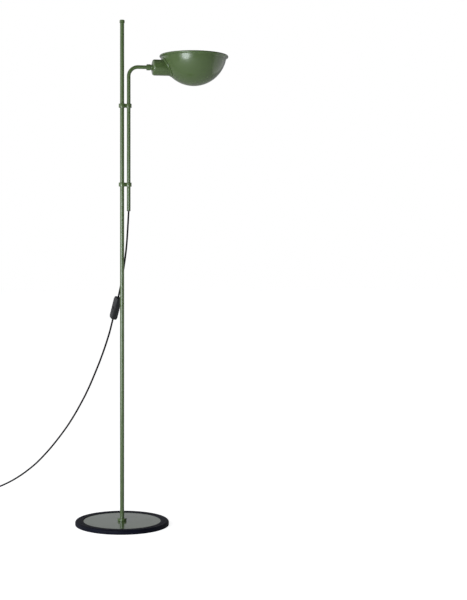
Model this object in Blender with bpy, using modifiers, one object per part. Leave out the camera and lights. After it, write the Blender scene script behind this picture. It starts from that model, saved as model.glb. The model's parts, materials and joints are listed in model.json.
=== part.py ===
"""Floor lamp with an adjustable arm: a weighted round base, a thin pole, two clips that slide and
turn on the pole and hold a bent arm tube beside it, and an uplight bowl on the arm's end.

Metres, +Z up. The origin is the centre of the base's underside, and +X points from the pole to
the bowl. The clips and the arm hang on empties that stand on their joint axes.
"""

import math

import bmesh
import bpy
from mathutils import Matrix, Vector
from mathutils.geometry import interpolate_bezier

MM = 0.001

# Driving dimensions: stand
TOTAL_HEIGHT = 1350 * MM
BASE_RADIUS = 125.4 * MM
BASE_RING_WIDTH = 21.6 * MM
BASE_RING_HEIGHT = 11.6 * MM
BASE_RING_EDGE = 5 * MM
RING_GROOVE = 0.8 * MM
DISC_TOP = 10.2 * MM
DISC_BEVEL = 1.5 * MM
PAD_THICKNESS = 1.7 * MM
PAD_INSET = 4 * MM
POLE_RADIUS = 5.6 * MM
POLE_WALL = 1.2 * MM
CAP_RADIUS = 6.9 * MM
CAP_HEIGHT = 8.7 * MM
CAP_STEM = 14 * MM
COLLAR_RADIUS = 12 * MM
COLLAR_HEIGHT = 7.2 * MM
INSERT_LENGTH = 20 * MM
BOLT_RADIUS = 2.5 * MM
BOLT_HEAD_RADIUS = 4.6 * MM
BOLT_HEAD_HEIGHT = 2.7 * MM
WASHER_RADIUS = 8 * MM
WASHER_THICKNESS = 1.2 * MM

# Driving dimensions: clips and arm
ARM_OFFSET = 17.8 * MM
ARM_RADIUS = 5 * MM
ARM_WALL = 1 * MM
ARM_BOTTOM = 838 * MM
ARM_HEIGHT = 1224.5 * MM
ARM_BEND = 25.5 * MM
UPPER_CLIP = 1120 * MM
LOWER_CLIP = 909 * MM
CLIP_HEIGHT = 10.4 * MM
CLIP_WALL = 1.8 * MM
CLIP_WEB = 9 * MM
BUSH_WALL = 1.3 * MM
END_BUSH_FLANGE = 1.2 * MM
GRUB_RADIUS = 1.5 * MM
NUT_START = 66.2 * MM
NUT_LENGTH = 10.9 * MM
NUT_RADIUS = 8.2 * MM
NUT_EDGE = 1 * MM

# Driving dimensions: head
NECK_LENGTH = 3.4 * MM
NECK_SMALL_RADIUS = 6.6 * MM
NECK_LARGE_RADIUS = 10 * MM
NECK_FLARE = 1.2 * MM
NECK_STEM_RADIUS = 8.1 * MM
NECK_STEM_LENGTH = 4.6 * MM
NECK_NUT_RADIUS = 11.5 * MM
HOUSING_RADIUS = 21.5 * MM
HOUSING_WALL = 1.5 * MM
HOUSING_SHOULDER = 5.5 * MM
HOUSING_CONE = 1 * MM
BOWL_RADIUS = 89 * MM
BOWL_WALL = 1 * MM
BOWL_REACH = 196.1 * MM
BOWL_RISE = 42.3 * MM
BOWL_RIM_DROP = 7.6 * MM
BOWL_TILT = math.radians(0.8)
BEAD_RADIUS = 2.9 * MM
FLANGE_RADIUS = 29 * MM
FLANGE_THICKNESS = 1.6 * MM
HOLDER_WALL = 3.2 * MM
HOLDER_LENGTH = 24 * MM
HOLDER_FLOOR = 4 * MM
HOLDER_SIDE_ROOM = 1.5 * MM
MOUTH_BEHIND_BOWL = 4.7 * MM
SCREW_SHELL_WALL = 0.6 * MM
CONTACT_HEIGHT = 4 * MM
BULB_CAP_LENGTH = 24 * MM
BULB_TIP_RADIUS = 5 * MM
BULB_STEP = 1 * MM
BULB_RADIUS = 22.5 * MM
BULB_NECK = 29 * MM

# Driving dimensions: cord, its switch and its plug
CORD_RADIUS = 2.4 * MM
SWITCH_LENGTH = 63 * MM
SWITCH_WIDTH = 22 * MM
SWITCH_THICKNESS = 16 * MM
SWITCH_WALL = 1.6 * MM
SWITCH_EDGE = 3 * MM
ROCKER_LENGTH = 14.4 * MM
ROCKER_WIDTH = 9 * MM
ROCKER_PROUD = 1.6 * MM
ROCKER_EDGE = 1 * MM
ROCKER_PIVOT_DEPTH = 3 * MM
ROCKER_DROP = 4.5 * MM
ROCKER_TILT = math.radians(7)
TERMINAL_SIZE = 5 * MM
TERMINAL_SPREAD = 22 * MM
CASE_SCREW_SPREAD = 15 * MM
CASE_SCREW_RADIUS = 1.3 * MM
CASE_SCREW_HEAD = 2.6 * MM
COIL_INNER = 19.6 * MM
COIL_OUTER = 36.8 * MM
COIL_LAYERS = 2
COIL_ENTRY = 696 * MM
COIL_LEAD_OUT = 23 * MM
TIE_WIDTH = 8 * MM
TIE_THICKNESS = 0.8 * MM
PLUG_WIDTH = 35 * MM
PLUG_LENGTH = 36 * MM
PLUG_THICKNESS = 13.5 * MM
PLUG_EDGE = 4 * MM
PLUG_SLEEVE_LENGTH = 22 * MM
PIN_RADIUS = 2 * MM
PIN_LENGTH = 19 * MM
PIN_SPACING = 19 * MM

# Clearances
GAP = 0.3 * MM
RUNNING = 0.08 * MM
SPHERE_SEAT = 0.5 * MM

# The cord hangs in one upright plane through the arm tube's lower end, turned this far from +Y
# towards -X. Its points are (distance from the tube's axis, height).
CORD_HEADING = math.radians(35)
UPPER_ROUTE = [
    (0, 0.8377), (0.0035, 0.794), (0.0085, 0.744), (0.0165, 0.699), (0.029, 0.645), (0.0403, 0.6072),
]
SWITCH_TOP = (0.0405, 0.6067)
SWITCH_BOTTOM = (0.0618, 0.5477)
LOWER_ROUTE = [
    (0.0620, 0.5471), (0.0763, 0.508), (0.1025, 0.452), (0.132, 0.399), (0.166, 0.344), (0.204, 0.2925),
    (0.245, 0.244), (0.291, 0.198), (0.341, 0.1535), (0.399, 0.1095), (0.475, 0.0645), (0.551, 0.0300),
    (0.612, 0.0105), (0.650, 0.0036), (0.666, 0.0027), (0.677, 0.0029),
]

# Mesh fineness
FINE = 40
ROUND = 24
SMALL = 12
BOWL_JOINT_STEPS = 32

# What follows from them
HEAD_START = NUT_START + NUT_LENGTH + GAP
HOUSING_BACK = HEAD_START + NECK_LENGTH + GAP
BOWL_CENTRE = Vector((BOWL_REACH, 0, ARM_HEIGHT + BOWL_RISE))
PLATE_BOTTOM = PAD_THICKNESS + GAP
POLE_BOTTOM = DISC_TOP + GAP
POLE_TOP = TOTAL_HEIGHT - CAP_HEIGHT - GAP
POLE_BORE = POLE_RADIUS - POLE_WALL
DISC_RADIUS = BASE_RADIUS - BASE_RING_WIDTH - GAP
ARM_BORE = ARM_RADIUS - ARM_WALL
BOWL_WALL_AT_ARM = BOWL_REACH - math.sqrt(BOWL_RADIUS**2 - BOWL_RISE**2)
HOLDER_RADIUS = HOUSING_RADIUS - HOUSING_WALL - HOLDER_SIDE_ROOM
HOLDER_BACK = BOWL_WALL_AT_ARM - MOUTH_BEHIND_BOWL - HOLDER_LENGTH


def new_collection(name):
    collection = bpy.data.collections.new(name)
    bpy.context.scene.collection.children.link(collection)
    return collection


for old in list(bpy.data.objects):
    bpy.data.objects.remove(old, do_unlink=True)
LAMP = new_collection("arm_floor_lamp")
CUTTERS = new_collection("cutters")


def paint(name, colour, roughness, metallic=0.0, transmission=0.0):
    material = bpy.data.materials.new(name)
    material.use_nodes = True
    shader = material.node_tree.nodes["Principled BSDF"]
    shader.inputs["Base Color"].default_value = (*colour, 1)
    shader.inputs["Roughness"].default_value = roughness
    shader.inputs["Metallic"].default_value = metallic
    shader.inputs["Transmission Weight"].default_value = transmission
    return material


GREEN = (0.13, 0.19, 0.085)
LOOKS = {
    "enamel": (GREEN, 0.22),
    "rubber": ((0.012, 0.013, 0.02), 0.45),
    "black_plastic": ((0.03, 0.03, 0.032), 0.4),
    "cord_jacket": ((0.012, 0.012, 0.012), 0.5),
    "white_nylon": ((0.7, 0.7, 0.68), 0.5),
    "steel": ((0.55, 0.56, 0.57), 0.3, 1.0),
    "brass": ((0.75, 0.55, 0.22), 0.3, 1.0),
    "ceramic": ((0.8, 0.79, 0.75), 0.35),
    "bulb_glass": ((0.92, 0.92, 0.9), 0.1),
}


def empty(name, location, parent=None):
    marker = bpy.data.objects.new(name, None)
    LAMP.objects.link(marker)
    marker.location = location
    marker.parent = parent
    return marker


def add(name, data, look=None, location=(0, 0, 0), parent=None, rotation=(0, 0, 0)):
    """An object at a world location, under an empty that isn't rotated. With no look it's a cutter."""
    obj = bpy.data.objects.new(name, data)
    (LAMP if look else CUTTERS).objects.link(obj)
    obj.rotation_euler = rotation
    obj.location = Vector(location) - (parent.location if parent else Vector())
    obj.parent = parent
    if look:
        data.materials.append(paint(name, *LOOKS[look]))
    else:
        obj.hide_render = True
        obj.display_type = "WIRE"
    return obj


def arc(centre, radius, start, end, count):
    """Points (radius, height) round a centre, from start to end in degrees."""
    angles = (math.radians(start + (end - start) * i / count) for i in range(count + 1))
    return [(centre[0] + radius * math.cos(a), centre[1] + radius * math.sin(a)) for a in angles]


ALONG_X = (0, math.pi / 2, 0)


def turned(name, profile, steps, look=None, closed=False, **place):
    """A profile of (radius, height) points turned round the object's own Z axis."""
    mesh = bpy.data.meshes.new(name)
    count = len(profile)
    edges = [(i, i + 1) for i in range(count - 1)] + ([(count - 1, 0)] if closed else [])
    mesh.from_pydata([(r, 0, z) for r, z in profile], edges, [])
    obj = add(name, mesh, look, **place)
    screw = obj.modifiers.new("turn", "SCREW")
    screw.steps = screw.render_steps = steps
    screw.use_merge_vertices = True
    screw.merge_threshold = 0.00001
    screw.use_smooth_shade = True
    return obj


def ring(name, outer, inner, bottom, top, steps, look=None, **place):
    corners = [(outer, top), (outer, bottom), (inner, bottom), (inner, top)]
    return turned(name, corners, steps, look, closed=True, **place)


def rod(name, radius, bottom, top, steps, look=None, **place):
    return turned(name, [(0, top), (radius, top), (radius, bottom), (0, bottom)], steps, look, **place)


def box(name, size, look=None, centre=(0, 0, 0), edge=0, **place):
    """A box whose centre lies at a point in the object's own frame."""
    mesh = bpy.data.meshes.new(name)
    work = bmesh.new()
    bmesh.ops.create_cube(work, size=1)
    bmesh.ops.scale(work, vec=size, verts=work.verts)
    bmesh.ops.translate(work, vec=centre, verts=work.verts)
    work.to_mesh(mesh)
    work.free()
    obj = add(name, mesh, look, **place)
    if edge:
        bevel = obj.modifiers.new("edges", "BEVEL")
        bevel.width = edge
        bevel.segments = 3
    return obj


def boolean(obj, tool, operation="DIFFERENCE"):
    modifier = obj.modifiers.new(tool.name, "BOOLEAN")
    modifier.operation = operation
    modifier.object = tool
    modifier.solver = "EXACT"


def tube(name, points, radius, resolution, look, parent=None, caps=True):
    """A round tube along world points, as a poly curve."""
    curve = bpy.data.curves.new(name, "CURVE")
    curve.dimensions = "3D"
    curve.bevel_depth = radius
    curve.bevel_resolution = resolution
    curve.use_fill_caps = caps
    spline = curve.splines.new("POLY")
    spline.points.add(len(points) - 1)
    origin = parent.location if parent else Vector()
    for point, place in zip(spline.points, points):
        point.co = (*(Vector(place) - origin), 1)
    return add(name, curve, look, location=origin, parent=parent)


def smooth_route(points, spacing):
    """Points at an even spacing along a smooth curve through the given ones."""
    points = [Vector(p) for p in points]
    ends = [points[0], *points, points[-1]]
    tangents = [(after - before).normalized() for before, after in zip(ends, ends[2:])]
    fine = []
    for i in range(len(points) - 1):
        a, b = points[i], points[i + 1]
        third = (b - a).length / 3
        fine += interpolate_bezier(a, a + tangents[i] * third, b - tangents[i + 1] * third, b, 24)[:-1]
    fine.append(points[-1])
    travelled = [0.0]
    for a, b in zip(fine, fine[1:]):
        travelled.append(travelled[-1] + (b - a).length)
    count = max(round(travelled[-1] / spacing), 2)
    even, at = [], 0
    for i in range(count + 1):
        wanted = travelled[-1] * i / count
        while at < len(fine) - 2 and travelled[at + 1] < wanted:
            at += 1
        share = (wanted - travelled[at]) / (travelled[at + 1] - travelled[at])
        even.append(fine[at].lerp(fine[at + 1], min(share, 1)))
    return even


def in_cord_plane(point):
    along, height = point
    return Vector((ARM_OFFSET - along * math.sin(CORD_HEADING), along * math.cos(CORD_HEADING), height))


# Empties on the joint axes
POLE_AXIS = empty("pole_axis", (0, 0, LOWER_CLIP))
ARM_AXIS = empty("arm_axis", (ARM_OFFSET, 0, LOWER_CLIP))
HEAD_AXIS = empty("head_axis", (HOUSING_BACK, 0, ARM_HEIGHT))


def make_base():
    ring_inner = BASE_RADIUS - BASE_RING_WIDTH
    middle = BASE_RADIUS - BASE_RING_WIDTH / 2
    crown = BASE_RING_HEIGHT
    outline = [
        (ring_inner, crown - RING_GROOVE), (ring_inner + 3 * RING_GROOVE, crown - RING_GROOVE / 4),
        (middle - 2 * RING_GROOVE, crown), (middle, crown - RING_GROOVE), (middle + 2 * RING_GROOVE, crown),
        *arc((BASE_RADIUS - BASE_RING_EDGE, crown - BASE_RING_EDGE), BASE_RING_EDGE, 75, 0, 4),
        (BASE_RADIUS, RING_GROOVE), (BASE_RADIUS - RING_GROOVE, 0), (ring_inner, 0),
    ]
    turned("base_ring", outline, FINE, "rubber", closed=True)
    bolt_hole = BOLT_RADIUS + 2 * GAP
    recess = WASHER_RADIUS + 4 * GAP
    recess_top = PLATE_BOTTOM + BOLT_HEAD_HEIGHT + WASHER_THICKNESS + 2 * GAP
    plate = [
        (bolt_hole, DISC_TOP), (DISC_RADIUS - DISC_BEVEL, DISC_TOP), (DISC_RADIUS, DISC_TOP - DISC_BEVEL),
        (DISC_RADIUS, PLATE_BOTTOM), (recess, PLATE_BOTTOM), (recess, recess_top), (bolt_hole, recess_top),
    ]
    turned("base_plate", plate, FINE, "enamel", closed=True)
    rod("base_pad", DISC_RADIUS - PAD_INSET, 0, PAD_THICKNESS, FINE, "rubber")
    collar_top = POLE_BOTTOM + COLLAR_HEIGHT
    ring("foot_collar", COLLAR_RADIUS, POLE_RADIUS + GAP, POLE_BOTTOM, collar_top, ROUND, "enamel")
    head_top = PLATE_BOTTOM + BOLT_HEAD_HEIGHT
    bolt = [
        (0, POLE_BOTTOM + INSERT_LENGTH), (BOLT_RADIUS, POLE_BOTTOM + INSERT_LENGTH),
        (BOLT_RADIUS, head_top), (BOLT_HEAD_RADIUS, head_top), (BOLT_HEAD_RADIUS, PLATE_BOTTOM),
        (0, PLATE_BOTTOM),
    ]
    turned("foot_bolt", bolt, SMALL, "steel")
    washer_bottom = head_top + GAP
    ring("foot_washer", WASHER_RADIUS, BOLT_RADIUS + GAP, washer_bottom, washer_bottom + WASHER_THICKNESS,
         SMALL, "steel")


def make_pole():
    ring("pole", POLE_RADIUS, POLE_BORE, POLE_BOTTOM, POLE_TOP, ROUND, "enamel")
    ring("pole_insert", POLE_BORE - GAP, BOLT_RADIUS + GAP, POLE_BOTTOM, POLE_BOTTOM + INSERT_LENGTH,
         SMALL, "steel")
    stem_top = POLE_TOP + GAP
    crown = CAP_HEIGHT / 2
    outline = [
        (0, TOTAL_HEIGHT), (CAP_RADIUS / 2, TOTAL_HEIGHT - crown / 12),
        *arc((CAP_RADIUS - crown, TOTAL_HEIGHT - crown - crown / 8), crown, 70, 0, 4),
        (CAP_RADIUS, stem_top), (POLE_BORE - GAP, stem_top), (POLE_BORE - GAP, stem_top - CAP_STEM),
        (0, stem_top - CAP_STEM),
    ]
    turned("pole_cap", outline, SMALL, "enamel")


def make_clip(name, height):
    """Two eyes joined by a web: the first round the pole, the second round the arm tube."""
    half = CLIP_HEIGHT / 2
    pole_bore = POLE_RADIUS + RUNNING + BUSH_WALL + GAP
    arm_bore = ARM_RADIUS + RUNNING + BUSH_WALL + GAP
    at_pole, at_arm = (0, 0, height), (ARM_OFFSET, 0, height)
    half_step = (0, 0, math.pi / ROUND)
    for eye, bore, place, bush in (
        ("pole", pole_bore, at_pole, POLE_RADIUS), ("arm", arm_bore, at_arm, ARM_RADIUS)
    ):
        axis = POLE_AXIS if eye == "pole" else ARM_AXIS
        ring(f"{name}_{eye}_bush", bush + RUNNING + BUSH_WALL, bush + RUNNING, -half, half, ROUND,
             "white_nylon", location=place, parent=axis)
    clip = rod(f"{name}_clip", pole_bore + CLIP_WALL, -half, half, ROUND, "enamel",
               location=at_pole, parent=POLE_AXIS, rotation=half_step)
    second = rod(f"{name}_second_eye", arm_bore + CLIP_WALL - 2 * GAP, -half, half, ROUND,
                 location=at_arm, parent=POLE_AXIS, rotation=half_step)
    web = box(f"{name}_web", (ARM_OFFSET, CLIP_WEB, CLIP_HEIGHT - 2 * GAP), centre=(ARM_OFFSET / 2, 0, 0),
              location=at_pole, parent=POLE_AXIS)
    towards_back = (-math.pi / 2, 0, 0)
    grub_start, grub_end = pole_bore, pole_bore + CLIP_WALL - GAP
    boolean(clip, rod(f"{name}_grub_hole", GRUB_RADIUS + GAP, pole_bore / 2, grub_end + CLIP_WALL, SMALL,
                      location=at_pole, parent=POLE_AXIS, rotation=towards_back))
    boolean(clip, web, "UNION")
    boolean(clip, second, "UNION")
    for cutter_name, bore, place in (("pole_bore", pole_bore, at_pole), ("arm_bore", arm_bore, at_arm)):
        boolean(clip, rod(f"{name}_{cutter_name}", bore, -2 * half, 2 * half, ROUND,
                          location=place, parent=POLE_AXIS, rotation=half_step))
    grub = rod(f"{name}_clip_screw", GRUB_RADIUS, grub_start, grub_end, SMALL, "steel",
               location=at_pole, parent=POLE_AXIS, rotation=towards_back)
    boolean(grub, rod(f"{name}_grub_socket", GRUB_RADIUS / 2, grub_end - CLIP_WALL / 2, grub_end + CLIP_WALL,
                      6, location=at_pole, parent=POLE_AXIS, rotation=towards_back))


def arm_path(bottom, end):
    """The arm tube's centre line, up from a height, round the bend and out to a distance."""
    bend = (ARM_OFFSET + ARM_BEND, ARM_HEIGHT - ARM_BEND)
    turn = [(x, 0, z) for x, z in arc(bend, ARM_BEND, 180, 90, 8)]
    return [(ARM_OFFSET, 0, bottom), *turn, (end, 0, ARM_HEIGHT)]


def make_arm():
    tube_end = HOUSING_BACK + HOUSING_WALL + NECK_STEM_LENGTH / 2
    guide_path = arm_path(ARM_BOTTOM + END_BUSH_FLANGE + GAP, tube_end)
    guide = tube("arm_guide", guide_path, ARM_RADIUS, 6, "enamel", ARM_AXIS, caps=False)
    bpy.context.view_layer.update()
    evaluated = guide.evaluated_get(bpy.context.evaluated_depsgraph_get())
    mesh = bpy.data.meshes.new_from_object(evaluated)
    mesh.name = "arm_tube"
    bpy.data.objects.remove(guide)
    arm = add("arm_tube", mesh, "enamel", location=ARM_AXIS.location, parent=ARM_AXIS)
    shell = arm.modifiers.new("wall", "SOLIDIFY")
    shell.thickness = ARM_WALL
    shell.offset = -1
    bush = [
        (ARM_BORE - GAP, 3 * END_BUSH_FLANGE), (ARM_BORE - GAP, END_BUSH_FLANGE),
        (ARM_RADIUS, END_BUSH_FLANGE), (ARM_RADIUS, 0), (CORD_RADIUS + GAP, 0),
        (CORD_RADIUS + GAP, 3 * END_BUSH_FLANGE),
    ]
    turned("tube_end_bush", bush, SMALL, "black_plastic", closed=True,
           location=(ARM_OFFSET, 0, ARM_BOTTOM), parent=ARM_AXIS)
    tube("inner_flex", arm_path(ARM_BOTTOM, HOLDER_BACK - GAP), CORD_RADIUS, 2, "cord_jacket", ARM_AXIS)
    outline = [
        (NUT_RADIUS - NUT_EDGE, NUT_LENGTH), (NUT_RADIUS, NUT_LENGTH - NUT_EDGE), (NUT_RADIUS, NUT_EDGE),
        (NUT_RADIUS - NUT_EDGE, 0), (ARM_RADIUS + GAP, 0), (ARM_RADIUS + GAP, NUT_LENGTH),
    ]
    turned("lock_nut", outline, ROUND, "enamel", closed=True, location=(NUT_START, 0, ARM_HEIGHT),
           parent=HEAD_AXIS, rotation=ALONG_X)


def on_head(**place):
    """Where a turned piece of the head stands: its Z axis runs out along the arm."""
    return {"location": (HOUSING_BACK, 0, ARM_HEIGHT), "parent": HEAD_AXIS, "rotation": ALONG_X, **place}


def make_neck():
    stem_end = HOUSING_WALL + NECK_STEM_LENGTH
    bore = ARM_RADIUS + GAP
    start = -NECK_LENGTH - GAP
    neck = [
        (bore, stem_end), (NECK_STEM_RADIUS, stem_end), (NECK_STEM_RADIUS, -GAP), (NECK_LARGE_RADIUS, -GAP),
        (NECK_SMALL_RADIUS + NECK_FLARE, start + NECK_LENGTH / 2), (NECK_SMALL_RADIUS, start), (bore, start),
    ]
    turned("head_neck", neck, ROUND, "enamel", closed=True, **on_head())
    ring("neck_nut", NECK_NUT_RADIUS, NECK_STEM_RADIUS + GAP, HOUSING_WALL + GAP, stem_end, SMALL, "steel",
         **on_head())


def make_housing(bowl_seat):
    """The round housing, its front end cut to the bowl, and the flange that covers that joint."""
    hole = NECK_STEM_RADIUS + GAP
    length = BOWL_REACH - HOUSING_BACK - BOWL_RADIUS / 2
    shoulder = (HOUSING_RADIUS - HOUSING_SHOULDER, HOUSING_CONE + HOUSING_SHOULDER)
    inner_shoulder = HOUSING_SHOULDER - HOUSING_WALL
    outline = [
        (HOUSING_RADIUS, length), *arc(shoulder, HOUSING_SHOULDER, 0, -80, 4), (hole + 3 * HOUSING_WALL, 0),
        (hole, 0), (hole, HOUSING_WALL), (hole + 3 * HOUSING_WALL, HOUSING_WALL),
        *arc(shoulder, inner_shoulder, -80, 0, 3), (HOUSING_RADIUS - HOUSING_WALL, length),
    ]
    housing = turned("socket_housing", outline, BOWL_JOINT_STEPS, "enamel", closed=True, **on_head())
    boolean(housing, bowl_seat)
    tilt = math.asin(BOWL_RISE / BOWL_RADIUS)
    spread = math.degrees(math.asin(FLANGE_RADIUS / BOWL_RADIUS))
    inner = BOWL_RADIUS + SPHERE_SEAT
    cap = [
        *arc((0, 0), inner + FLANGE_THICKNESS, 90, 90 - spread, 5),
        *arc((0, 0), inner, 90 - spread, 90, 5),
    ]
    flange = turned("seam_ring", cap, BOWL_JOINT_STEPS, "enamel", location=BOWL_CENTRE, parent=HEAD_AXIS,
                    rotation=(0, -math.pi / 2 - tilt, 0))
    boolean(flange, rod("flange_bore", HOUSING_RADIUS + GAP, 0, length, BOWL_JOINT_STEPS, **on_head()))
    bead_bottom = -BOWL_RIM_DROP - 2 * BEAD_RADIUS
    boolean(flange, box("under_bead", (2 * BOWL_REACH, BOWL_REACH, BOWL_RADIUS),
                        centre=(0, 0, bead_bottom - 2 * GAP + BOWL_RADIUS / 2),
                        location=BOWL_CENTRE, parent=HEAD_AXIS, rotation=(0, BOWL_TILT, 0)))


def make_bowl():
    """A round bowl, open upwards, with a bead rolled outwards round its rim."""
    inner = BOWL_RADIUS - BOWL_WALL
    bead_height = -BOWL_RIM_DROP - BEAD_RADIUS
    rim_angle = -math.degrees(math.asin(-bead_height / inner))
    bead_centre = (inner * math.cos(math.radians(rim_angle)) + BEAD_RADIUS, bead_height)
    outline = [
        *arc((0, 0), inner, -90, rim_angle - 2, 9),
        *arc(bead_centre, BEAD_RADIUS, 180, -120, 6),
        *arc((0, 0), BOWL_RADIUS, rim_angle - 3, -90, 9),
    ]
    outline[0], outline[-1] = (0, -inner), (0, -BOWL_RADIUS)
    bowl = turned("shade", outline, FINE, "enamel", location=BOWL_CENTRE, parent=HEAD_AXIS,
                  rotation=(0, BOWL_TILT, 0))
    reach = BOWL_REACH - HOUSING_BACK
    boolean(bowl, rod("bowl_hole", HOUSING_RADIUS - HOUSING_WALL, 0, reach - BOWL_RADIUS / 2, ROUND,
                      **on_head()))


def make_lampholder():
    back = HOLDER_BACK - HOUSING_BACK
    mouth = back + HOLDER_LENGTH
    floor = back + HOLDER_FLOOR
    bore = HOLDER_RADIUS - HOLDER_WALL
    holder = [
        (bore, mouth), (HOLDER_RADIUS, mouth), (HOLDER_RADIUS, back), (CORD_RADIUS, back),
        (CORD_RADIUS, floor), (bore, floor),
    ]
    turned("lamp_holder", holder, ROUND, "ceramic", closed=True, **on_head())
    shell_outer = bore - GAP
    shell_inner = shell_outer - SCREW_SHELL_WALL
    ring("holder_shell", shell_outer, shell_inner, floor + GAP, mouth - GAP, ROUND, "brass", **on_head())
    contact_end = floor + CONTACT_HEIGHT
    rod("holder_contact", BULB_TIP_RADIUS, floor + GAP, contact_end, SMALL, "brass", **on_head())
    tip = contact_end + GAP
    cap_radius = shell_inner - GAP
    cap = [
        (0, tip + BULB_CAP_LENGTH), (cap_radius, tip + BULB_CAP_LENGTH), (cap_radius, tip + CONTACT_HEIGHT),
        (BULB_TIP_RADIUS, tip), (0, tip),
    ]
    turned("bulb_cap", cap, ROUND, "brass", **on_head())
    neck = tip + BULB_CAP_LENGTH + GAP
    neck_radius = cap_radius - BULB_STEP
    centre = neck + BULB_NECK
    globe = [*arc((0, centre), BULB_RADIUS, 90, -50, 7), (neck_radius, neck + neck_radius / 2),
             (neck_radius, neck), (0, neck)]
    globe[0] = (0, centre + BULB_RADIUS)
    turned("bulb_glass", globe, ROUND, "bulb_glass", **on_head())


def switch_place():
    """The switch's middle and its axes: X out of the rocker, Y across, Z up along the cord."""
    top, bottom = in_cord_plane(SWITCH_TOP), in_cord_plane(SWITCH_BOTTOM)
    up = (top - bottom).normalized()
    face = Vector((-1, -0.25, 0))
    face = (face - face.dot(up) * up).normalized()
    turn = Matrix((face, up.cross(face), up)).transposed()
    return (top + bottom) / 2, turn.to_euler()


def make_switch():
    centre, turn = switch_place()
    place = {"location": centre, "rotation": turn}
    inside = SWITCH_THICKNESS - 2 * SWITCH_WALL
    body = (SWITCH_THICKNESS, SWITCH_WIDTH, SWITCH_LENGTH)
    pocket = (inside, SWITCH_WIDTH - 2 * SWITCH_WALL - GAP, SWITCH_LENGTH - 4 * SWITCH_WALL)
    front = box("switch_front", body, "black_plastic", edge=SWITCH_EDGE, **place)
    back = box("switch_back", body, "black_plastic", edge=SWITCH_EDGE, **place)
    half = Vector((SWITCH_THICKNESS, 2 * SWITCH_WIDTH, 2 * SWITCH_LENGTH))
    for shell, away in ((front, -1), (back, 1)):
        middle = away * (SWITCH_THICKNESS / 2 - GAP / 2)
        boolean(shell, box(f"{shell.name}_half", half, centre=(middle, 0, 0), **place))
        boolean(shell, box(f"{shell.name}_pocket", pocket, **place))
    slot = (SWITCH_THICKNESS, ROCKER_WIDTH + 4 * GAP, ROCKER_LENGTH + 6 * GAP)
    boolean(front, box("rocker_slot", slot, centre=(SWITCH_THICKNESS / 2, 0, -ROCKER_DROP), **place))
    outwards = (turn.to_matrix() @ Matrix.Rotation(-math.pi / 2, 3, "Y")).to_euler()
    for name, height in (("upper", CASE_SCREW_SPREAD), ("lower", -CASE_SCREW_SPREAD)):
        screw_place = {"location": centre + turn.to_matrix() @ Vector((0, 0, height)), "rotation": outwards}
        face = SWITCH_THICKNESS / 2
        seat = face - SWITCH_WALL / 2
        screw = [
            (0, face), (CASE_SCREW_HEAD, face), (CASE_SCREW_HEAD, seat), (CASE_SCREW_RADIUS, seat),
            (CASE_SCREW_RADIUS, GAP), (0, GAP),
        ]
        turned(f"switch_screw_{name}", screw, SMALL, "steel", **screw_place)
        hole = [
            (0, 2 * face), (CASE_SCREW_HEAD + GAP, 2 * face), (CASE_SCREW_HEAD + GAP, seat - GAP),
            (CASE_SCREW_RADIUS + GAP, seat - GAP), (CASE_SCREW_RADIUS + GAP, 0), (0, 0),
        ]
        boolean(back, turned(f"switch_hole_{name}", hole, SMALL, **screw_place))
    for name, height in (("in", TERMINAL_SPREAD), ("out", -TERMINAL_SPREAD)):
        box(f"switch_terminal_{name}", (TERMINAL_SIZE, 2 * TERMINAL_SIZE, TERMINAL_SIZE), "brass",
            centre=(GAP - inside / 2 + TERMINAL_SIZE / 2, 0, height), **place)
    pivot = Vector((SWITCH_THICKNESS / 2 - ROCKER_PIVOT_DEPTH, 0, -ROCKER_DROP))
    rocker_turn = (turn.to_matrix() @ Matrix.Rotation(ROCKER_TILT, 3, "Y")).to_euler()
    depth = ROCKER_PIVOT_DEPTH + ROCKER_PROUD
    box("switch_rocker", (2 * depth, ROCKER_WIDTH, ROCKER_LENGTH), "black_plastic", edge=ROCKER_EDGE,
        location=centre + turn.to_matrix() @ pivot, rotation=rocker_turn)


def make_cord():
    spacing = 6 * CORD_RADIUS
    upper = smooth_route([in_cord_plane(p) for p in UPPER_ROUTE], spacing)
    tube("flex_upper", upper, CORD_RADIUS, 2, "cord_jacket")
    lower = smooth_route([in_cord_plane(p) for p in LOWER_ROUTE], spacing)
    tube("flex_lower", lower, CORD_RADIUS, 2, "cord_jacket")
    inwards = Vector((-math.cos(CORD_HEADING), -math.sin(CORD_HEADING), 0))
    middle = in_cord_plane((COIL_ENTRY, 0)) + inwards * COIL_OUTER
    outer, inner = COIL_OUTER + CORD_RADIUS, COIL_INNER - CORD_RADIUS
    bottom = TIE_THICKNESS + GAP
    top = bottom + 2 * CORD_RADIUS * COIL_LAYERS
    round_off = CORD_RADIUS / 2
    section = [
        (outer - round_off, top), (outer, top - round_off), (outer, bottom + round_off),
        (outer - round_off, bottom), (inner + round_off, bottom), (inner, bottom + round_off),
        (inner, top - round_off), (inner + round_off, top),
    ]
    turned("flex_coil", section, ROUND, "cord_jacket", closed=True, location=middle)
    height = top - bottom + 2 * GAP
    width = outer - inner + 4 * GAP
    tie_place = {"location": middle + Vector((0, (outer + inner) / 2 - GAP, (top + bottom) / 2))}
    tie_size = (TIE_WIDTH, width + 2 * TIE_THICKNESS, height + 2 * TIE_THICKNESS)
    tie = box("coil_tie", tie_size, "black_plastic", **tie_place)
    boolean(tie, box("tie_opening", (2 * TIE_WIDTH, width, height), **tie_place))
    make_plug(middle, top - CORD_RADIUS)


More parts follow.
